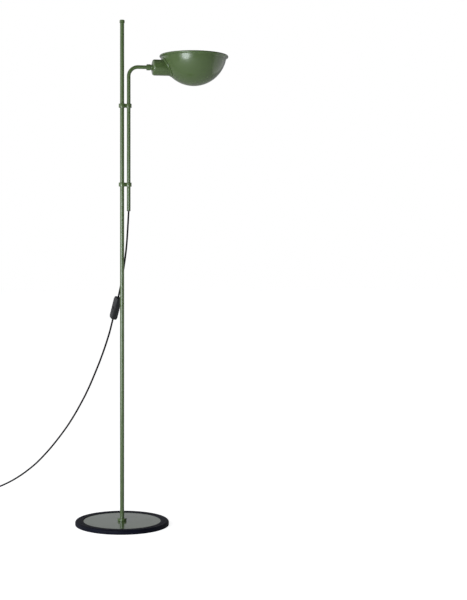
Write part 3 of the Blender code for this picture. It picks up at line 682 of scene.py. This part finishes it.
# %% The bush in its lower end, and the lock nut on its upper one
bush_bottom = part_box("tube_end_bush")[0].z
bush = lathe("cord_bush", [
    (2.9 * MM, bush_bottom), (4.6 * MM, bush_bottom), (5 * MM, bush_bottom + 0.4 * MM),
    (5 * MM, bush_bottom + 1.2 * MM), (3.7 * MM, bush_bottom + 1.2 * MM), (3.7 * MM, bush_bottom + 3.6 * MM),
    (2.7 * MM, bush_bottom + 3.6 * MM), (2.7 * MM, bush_bottom + 0.2 * MM),
], sides=48, hollow=True)
give(settle(bush, Matrix.Translation((ARM_X, 0, 0))), "black_plastic")
finish(bush, "arm", "tube_end_bush", angle=35)
NUT_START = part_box("lock_nut")[0].x
nut = lathe("arm_lock_nut", mm(
    (5.3, 0.3), (5.6, 0), (7.2, 0), (7.55, 0.12), (8.2, 0.95), (8.2, 3.6), (7.9, 3.9), (7.9, 4.3),
    (8.2, 4.6), (8.2, 9.9), (7.55, 10.75), (7.2, 10.9), (5.6, 10.9), (5.3, 10.6)), sides=64, hollow=True)
give(settle(nut, along_x(NUT_START, ARM_HEIGHT)), "enamel")
finish(nut, "nut", "lock_nut", angle=25)

# %% [markdown]
# ## The head
#
# A flared neck joins the tube to a round housing, which holds the lampholder. The housing's front
# end meets a round bowl, so it can't be a plain turning: it is turned too long, and a ball of the
# bowl's own size is then cut out of it. A thin flange covers that joint.

# %% The neck and the housing
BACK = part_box("socket_housing")[0].x
head_place = along_x(BACK, ARM_HEIGHT)
neck = lathe("flared_neck", mm(
    (5.3, -3.4), (5.6, -3.7), (6.3, -3.7), (6.6, -3.4), (6.7, -2.9), (7, -2.3), (7.8, -1.6), (8.9, -1),
    (9.8, -0.6), (10, -0.3), (8.1, -0.3), (8.1, 6.1), (5.3, 6.1)), sides=72, hollow=True)
give(settle(neck, head_place), "enamel")
finish(neck, "head", "head_neck", angle=40)
BOWL_REACH, BOWL_RISE = 196.1 * MM, 42.3 * MM
BOWL_MIDDLE = Vector((BOWL_REACH, 0, ARM_HEIGHT + BOWL_RISE))
BOWL_RADIUS = 89 * MM
SEAT = BOWL_RADIUS + 0.5 * MM
housing = lathe("holder_housing", [
    *mm((8.4, 0.3), (8.7, 0), (12.8, 0.05)), *arc((16 * MM, 6.5 * MM), 5.5 * MM, -80, 0, 12),
    *mm((21.5, 20), (21.5, 69.6), (20, 69.6), (20, 20)), *arc((16 * MM, 6.5 * MM), 4 * MM, 0, -80, 8),
    *mm((12.6, 1.5), (8.4, 1.5)),
], sides=128, hollow=True)
settle(housing, head_place)


def ball(name, radius, centre, segments=160, rings=96):
    bpy.ops.object.select_all(action="DESELECT")
    bpy.ops.mesh.primitive_uv_sphere_add(segments=segments, ring_count=rings, radius=radius, location=centre)
    obj = bpy.context.object
    obj.name = obj.data.name = name
    bpy.ops.object.transform_apply(location=True)
    return obj


cut(housing, ball("bowl_seat", SEAT, BOWL_MIDDLE))
face_out(housing)
give(housing, "enamel")
finish(housing, "head", "socket_housing", edge=0.25 * MM, segments=2, angle=35)

# %% The flange over the joint
FLANGE_SPREAD = math.degrees(math.asin(29 / 89))
towards_neck = Matrix.Rotation(-math.pi / 2 - math.asin(BOWL_RISE / BOWL_RADIUS), 4, "Y")
FLANGE_BORE = 21.8 * MM
flange = lathe("joint_flange", [
    (0.3 * MM, SEAT), *arc((0, 0), SEAT, 89, 90 - FLANGE_SPREAD, 10),
    *arc((0, 0), SEAT + 1.1 * MM, 90 - FLANGE_SPREAD, 90.6 - FLANGE_SPREAD, 1),
    *arc((0, 0), SEAT + 1.6 * MM, 91 - FLANGE_SPREAD, 89, 10), (0.3 * MM, SEAT + 1.6 * MM),
], sides=160)
settle(flange, Matrix.Translation(BOWL_MIDDLE) @ towards_neck)
cut(flange, settle(plain_turning("flange_bore", FLANGE_BORE, 0, 69 * MM, 128), head_place))
cut(flange, block("under_bead", (0.39, 0.2, 89 * MM), BOWL_MIDDLE + Vector((0, 0, (89 / 2 - 14) * MM))))
face_out(flange)
give(flange, "enamel")
finish(flange, "head", "seam_ring", angle=35)

# %% [markdown]
# ## The bowl
#
# The bowl is spun from sheet steel and its rim is rolled outwards into a bead, which stiffens it.
# One outline does it all: up the inside, round the bead, and down the outside. The rings are
# close together, because the bowl's gloss would show every flat as a kink in a reflection.

# %% Spin the bowl
INSIDE = 88 * MM
BEAD, RIM_DROP = 2.9 * MM, 7.6 * MM
BEAD_DROP = -(RIM_DROP + BEAD)
BOWL_TILT, BOWL_HOLE = math.radians(0.8), 20 * MM
rim = -math.degrees(math.asin(-BEAD_DROP / INSIDE))
bead_middle = (INSIDE * math.cos(math.radians(rim)) + BEAD, BEAD_DROP)
bowl = lathe("spun_bowl", [
    (0.6 * MM, -INSIDE), *arc((0, 0), INSIDE, -88.5, rim - 1.5, 44), *arc(bead_middle, BEAD, 180, -125, 16),
    *arc((0, 0), BOWL_RADIUS, rim - 2.2, -88.5, 44), (0.6 * MM, -BOWL_RADIUS),
], sides=192)
settle(bowl, Matrix.Translation(BOWL_MIDDLE) @ Matrix.Rotation(BOWL_TILT, 4, "Y"))
cut(bowl, settle(plain_turning("bowl_hole", BOWL_HOLE, 0, 69 * MM, 96), head_place))
face_out(bowl)
give(bowl, "enamel")
finish(bowl, "head", "shade", angle=50)

# %% [markdown]
# ## The lampholder and the bulb
#
# Looking down into the bowl, one sees a ceramic lampholder with a brass screw shell, and a small
# round bulb in it. The screw thread shows as a few soft ridges, so a turning with a wavy outline
# is enough for it.

# %% Turn the holder, its shell and the bulb
holder = lathe("ceramic_holder", [
    *mm((2.4, 8), (17, 8)), *arc((17 * MM, 9 * MM), 1 * MM, -80, 0, 4),
    *mm((18, 16), (17.2, 16.8), (17.2, 18.2), (18, 19), (18, 30.8)),
    *arc((16.8 * MM, 30.8 * MM), 1.2 * MM, 10, 90, 5),
    *mm((15.4, 32), (14.8, 31.4), (14.8, 12), (2.4, 12)),
], sides=80, hollow=True)
give(settle(holder, head_place), "ceramic")
finish(holder, "head", "lamp_holder", angle=35)


def thread(radius, depth, start, end, turns, steps=6):
    """A wavy run of rings that looks like a rolled screw thread from any side."""
    count = turns * steps
    waves = [0.5 - 0.5 * math.cos(2 * math.pi * i / steps) for i in range(count + 1)]
    return [(radius - depth * wave, start + (end - start) * i / count)
            for i, wave in enumerate(waves)]


shell = lathe("screw_shell", [
    *thread(14.5 * MM, 0.25 * MM, 12.4 * MM, 31.7 * MM, 5),
    *reversed(thread(14.2 * MM, 0.25 * MM, 12.4 * MM, 31.7 * MM, 5)),
], sides=72, hollow=True)
give(settle(shell, head_place), "brass")
finish(shell, "head", "holder_shell", angle=50)
screw_cap = lathe("bulb_screw_cap", [
    *mm((4.6, 16.3), (5, 16.6), (5.2, 17.2), (9.5, 18.6), (12.6, 19.9)),
    *thread(13.6 * MM, 0.9 * MM, 20.4 * MM, 36 * MM, 5), *mm((13.1, 37.2), (13.4, 38.6), (13.2, 40.3)),
], sides=72)
give(settle(screw_cap, head_place), "brass")
finish(screw_cap, "head", "bulb_cap", angle=50)
GLOBE = 69.6 * MM
glass = lathe("bulb_globe", [
    *mm((12.3, 40.6), (12.6, 41), (12.6, 43), (12.8, 45.5), (13.6, 48.6)),
    *arc((0, GLOBE), 22.5 * MM, -50, 88, 30), (0.3 * MM, GLOBE + 22.5 * MM),
], sides=80)
give(settle(glass, head_place), "bulb_glass")
finish(glass, "head", "bulb_glass", angle=60)

# %% [markdown]
# ## The switch
#
# The inline switch has two moulded shells that meet in a seam, with a rocker in the front one.
# A moulded shell has no sharp edge and its ends are a little narrower than its middle, so a block
# is stretched at both ends by extruding and scaling, and then bevelled all round.

# %% The switch's place
SWITCH_MIDDLE = (SWITCH_TOP + SWITCH_BOTTOM) / 2
upwards = (SWITCH_TOP - SWITCH_BOTTOM).normalized()
facing = Vector((-1, -0.25, 0))
facing = (facing - facing.dot(upwards) * upwards).normalized()
switch_turn = Matrix((facing, upwards.cross(facing), upwards)).transposed().to_4x4()
switch_place = Matrix.Translation(SWITCH_MIDDLE) @ switch_turn
SWITCH_SIZE = Vector((16, 22, 63)) * MM


def select_faces(obj, wanted):
    """Selects the faces whose centre and normal pass a test, in edit mode."""
    bpy.ops.object.mode_set(mode="EDIT")
    bpy.ops.mesh.select_mode(type="FACE")
    bpy.ops.mesh.select_all(action="DESELECT")
    work = bmesh.from_edit_mesh(obj.data)
    for face in work.faces:
        face.select_set(wanted(face.calc_center_median(), face.normal))
    bmesh.update_edit_mesh(obj.data)


# %% Mould the case, then saw it in two
def switch_case(name):
    taper = 7 * MM
    case = block(name, (SWITCH_SIZE.x, SWITCH_SIZE.y, SWITCH_SIZE.z - 2 * taper), (0, 0, 0))
    pick(case)
    for side in (1, -1):
        select_faces(case, lambda centre, normal: normal.z * side > 0.9)
        bpy.ops.mesh.extrude_region_move(TRANSFORM_OT_translate={"value": (0, 0, side * taper)})
        end = (0, 0, side * SWITCH_SIZE.z / 2)
        bpy.ops.transform.resize(value=(0.84, 0.82, 1), center_override=end)
        bpy.ops.object.mode_set(mode="OBJECT")
    round_edges(case, 2.6 * MM, 5, 20)
    return case


def saw_off(obj, side, at):
    """Keeps what lies in front of a plane across the case, or behind it."""
    pick(obj)
    bpy.ops.object.mode_set(mode="EDIT")
    bpy.ops.mesh.select_all(action="SELECT")
    bpy.ops.mesh.bisect(plane_co=(at, 0, 0), plane_no=(side, 0, 0), use_fill=True, clear_inner=True)
    bpy.ops.object.mode_set(mode="OBJECT")
    round_edges(obj, 0.35 * MM, 2, 60)


front, back = switch_case("switch_front_shell"), switch_case("switch_back_shell")
saw_off(front, 1, 0.15 * MM)
saw_off(back, -1, -0.15 * MM)
ROCKER_DROP = 4.5 * MM
opening = block("rocker_opening", (8 * MM, 10.2 * MM, 16.2 * MM), (8 * MM, 0, -ROCKER_DROP))
round_edges(opening, 1.6 * MM, 4, 30)
cut(front, opening)
for height in (-15 * MM, 15 * MM):
    well = plain_turning("screw_well", 2.9 * MM, 7 * MM, 12 * MM, 40)
    cut(back, settle(well, Matrix.Translation((0, 0, height)) @ Matrix.Rotation(-math.pi / 2, 4, "Y")))
for shell_half, node in ((front, "switch_front"), (back, "switch_back")):
    face_out(shell_half)
    give(settle(shell_half, switch_place), "black_plastic")
    finish(shell_half, "slider", node, angle=40)

# %% The rocker, with a dished top
rocker = block("rocker_key", (9.2 * MM, 9 * MM, 14.4 * MM), (0, 0, 0))
pick(rocker)
bpy.ops.object.mode_set(mode="EDIT")
bpy.ops.mesh.select_all(action="SELECT")
bpy.ops.mesh.bisect(plane_co=(0, 0, 0), plane_no=(0, 0, 1))
bpy.ops.object.mode_set(mode="OBJECT")
for point in rocker.data.vertices:
    if point.co.x > 0 and abs(point.co.z) < 0.1 * MM:
        point.co.x -= 1.1 * MM
round_edges(rocker, 0.7 * MM, 3, 12)
pivot = Vector((5 * MM, 0, -ROCKER_DROP))
rocker_place = switch_place @ Matrix.Translation(pivot) @ Matrix.Rotation(math.radians(7), 4, "Y")
give(settle(rocker, rocker_place), "black_plastic")
finish(rocker, "rocker", "switch_rocker", angle=30)

# %% [markdown]
# ## The plug and the tie
#
# The far end of the cord is a flat plug with two round pins. Its grip is narrower at the cord and
# has finger ridges, and a ribbed sleeve keeps the cord from kinking behind it. A flat band holds
# the coil. Both lie behind the lamp.

# %% The plug
low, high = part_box("plug_body")
size, centre = high - low, (low + high) / 2
NARROWING = 12 * MM
plug = block("plug_grip", (size.x, size.y - NARROWING, size.z), centre - Vector((0, NARROWING / 2, 0)))
pick(plug)
select_faces(plug, lambda middle, normal: normal.y > 0.9)
bpy.ops.mesh.extrude_region_move(TRANSFORM_OT_translate={"value": (0, NARROWING, 0)})
bpy.ops.transform.resize(value=(0.5, 1, 0.82), center_override=(centre.x, high.y, centre.z))
bpy.ops.object.mode_set(mode="OBJECT")
round_edges(plug, 2.4 * MM, 4, 20)
for i in range(4):
    ridge_at = Vector((centre.x, low.y + 9 * MM + i * 4 * MM, centre.z))
    groove_at = ridge_at + Vector((0, 0, size.z / 2))
    cut(plug, block("finger_groove", (size.x * 0.5, 1.4 * MM, 1.2 * MM), groove_at))
face_out(plug)
give(plug, "black_plastic")
finish(plug, "stand", "plug_body", edge=0.3 * MM, segments=2, angle=40)
for node in ("plug_pin_a", "plug_pin_b"):
    low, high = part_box(node)
    pin = lathe(f"{node}_turned", mm(
        (1.85, 0), (1.85, 9.6), (2, 9.8), (2, 17.4), (1.85, 18.2), (1.4, 18.8), (0.7, 19)), sides=40)
    place = Matrix.Translation(((low.x + high.x) / 2, high.y, (low.z + high.z) / 2))
    give(settle(pin, place @ Matrix.Rotation(math.pi / 2, 4, "X")), "brass")
    finish(pin, "stand", node, angle=40)

# %% The sleeve behind it
SLEEVE = sleeve_high.y - sleeve_low.y
ribs = []
for i in range(7):
    start = SLEEVE * i / 7
    wide = (3.36 + 1.44 * i / 6) * MM
    ribs += [(wide - 0.5 * MM, start + 0.1 * MM), (wide, start + 0.5 * MM), (wide, start + 2 * MM),
             (wide - 0.5 * MM, start + 2.4 * MM)]
sleeve = lathe("bend_sleeve", [(2.4 * MM, 0), *ribs, (3.6 * MM, SLEEVE)], sides=48)
sleeve_end = Matrix.Translation((plug_line, sleeve_high.y, plug_height))
sleeve_place = sleeve_end @ Matrix.Rotation(math.pi / 2, 4, "X")
give(settle(sleeve, sleeve_place), "black_plastic")
finish(sleeve, "stand", "plug_sleeve", angle=40)

# %% The band round the coil
low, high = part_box("coil_tie")
size, centre = high - low, (low + high) / 2
band = block("coil_band", (size.x, size.y - 2 * MM, size.z), centre)
round_edges(band, 2 * MM, 4, 30)
cut(band, block("band_opening", (20 * MM, size.y - 3.6 * MM, size.z - 1.6 * MM), centre))
face_out(band)
give(band, "black_plastic")
finish(band, "stand", "coil_tie", edge=0.15 * MM, segments=2, angle=40)

# %% [markdown]
#
# The coil holds the cord's spare length.

# %% [markdown]
# ## The rest of the nodes
#
# Some nodes of the CAD model are hidden inside others, or are so plain that their shape is right
# already. They keep their meshes and only get the finish that the record names for them.

# %% Finish the nodes that stay
SLOTS = {
    "rubber": ["base_pad"],
    "white_nylon": ["upper_pole_bush", "lower_pole_bush", "upper_arm_bush", "lower_arm_bush"],
    "steel": ["pole_insert", "foot_bolt", "foot_washer", "upper_clip_screw", "lower_clip_screw", "neck_nut",
              "switch_screw_upper", "switch_screw_lower"],
    "brass": ["holder_contact", "switch_terminal_in", "switch_terminal_out"],
    "cord_jacket": ["inner_flex"],
}
for slot, names in SLOTS.items():
    for name in names:
        nodes[name].data.materials.clear()
        nodes[name].data.materials.append(FINISHES[slot])
print("nodes that stay", sum(len(names) for names in SLOTS.values()))

# %% [markdown]
# ## Floor and light
#
# The lamp stands in a white studio. A large round softbox at the left, a little lower than the
# bowl, makes the soft round highlight on it. What the gloss reflects matters as much as the
# lights: the room is bright on the left, dim on the right and behind the camera, and a little
# brighter again far back. The camera itself sees plain white, which Light Path arranges.

# %% The floor
bpy.ops.object.select_all(action="DESELECT")
bpy.ops.mesh.primitive_plane_add(size=40)
floor = bpy.context.object
floor.name = "studio_floor"
white = bpy.data.materials.new("studio_white")
white.use_nodes = True
shader = white.node_tree.nodes["Principled BSDF"]
shader.inputs["Base Color"].default_value = (0.82, 0.82, 0.82, 1)
shader.inputs["Roughness"].default_value = 0.8
shader.inputs["Specular IOR Level"].default_value = 0.1
shader.inputs["Emission Color"].default_value = (1, 1, 1, 1)
shown = add_node(white.node_tree, "LightPath").outputs["Is Camera Ray"]
glow = spread(white.node_tree, shown, 0, 1, 0.14, 0.85)
white.node_tree.links.new(glow, shader.inputs["Emission Strength"])
floor.data.materials.append(white)

# %% The room
world = bpy.data.worlds.new("studio")
bpy.context.scene.world = world
world.use_nodes = True
tree = world.node_tree
tree.nodes.clear()
direction = add_node(tree, "TexCoord").outputs["Generated"]


def towards(vector, low, high, to_low, to_high):
    """Brightness by how nearly a direction points one way."""
    dot = add_node(tree, "VectorMath", operation="DOT_PRODUCT")
    tree.links.new(direction, dot.inputs[0])
    dot.inputs[1].default_value = vector
    limits = {"From Min": low, "From Max": high, "To Min": to_low, "To Max": to_high}
    smooth_step = add_node(tree, "MapRange", limits, interpolation_type="SMOOTHSTEP")
    tree.links.new(dot.outputs["Value"], smooth_step.inputs["Value"])
    return smooth_step.outputs["Result"]


to_left = turned_away @ Vector((-1, 0, 0))
to_back = turned_away @ Vector((0, 1, 0))
left_side = towards(to_left, 0.2, 0.9, 0.04, 0.85)
far_back = towards(to_back, 0.7, 1, 0, 0.43)
room = combine(tree, "ADD", left_side, far_back)
tint = mix_colour(tree, spread(tree, room, 0.1, 1.1), (0.97, 0.98, 1.06), (1.0, 1.0, 1.0))
light_path = add_node(tree, "LightPath")
seen = add_node(tree, "Background", {"Color": (1, 1, 1, 1), "Strength": 1.0})
unseen = add_node(tree, "Background")
tree.links.new(tint, unseen.inputs["Color"])
tree.links.new(room, unseen.inputs["Strength"])
chosen = add_node(tree, "MixShader")
tree.links.new(light_path.outputs["Is Camera Ray"], chosen.inputs[0])
tree.links.new(unseen.outputs[0], chosen.inputs[1])
tree.links.new(seen.outputs[0], chosen.inputs[2])
tree.links.new(chosen.outputs[0], add_node(tree, "OutputWorld").inputs["Surface"])


# %% The lights
def softbox(name, place, aim, diameter, watts, colour=(1, 1, 1), diffuse=True):
    data = bpy.data.lights.new(name, "AREA")
    data.shape = "DISK"
    data.size = diameter
    data.energy = watts
    data.color = colour
    lamp = bpy.data.objects.new(name, data)
    bpy.context.scene.collection.objects.link(lamp)
    lamp.location = place
    lamp.visible_camera = False
    lamp.visible_diffuse = diffuse
    lamp.rotation_euler = (Vector(aim) - Vector(place)).to_track_quat("-Z", "Y").to_euler()
    return lamp


key_place = BOWL_MIDDLE + Vector((-0.625, -0.736, -0.26)) * 2.6
softbox("key_core", key_place, BOWL_MIDDLE, diameter=1.2, watts=23, colour=(0.9, 0.97, 1.0))
halo_place = key_place - Vector((0.05, 0.05, 0))
softbox("key_halo", halo_place, BOWL_MIDDLE, diameter=2.2, watts=20, colour=(0.93, 0.98, 1.0))
softbox("top_fill", (-0.6, -0.4, 3.2), (0, 0, 0.3), diameter=2.4, watts=3)
side_place = BOWL_MIDDLE + turned_away @ Vector((0.93, 0.33, -0.15)) * 1.2
softbox("side_panel", side_place, BOWL_MIDDLE, diameter=1.5, watts=3, diffuse=False)
bpy.context.scene.view_settings.view_transform = "Standard"
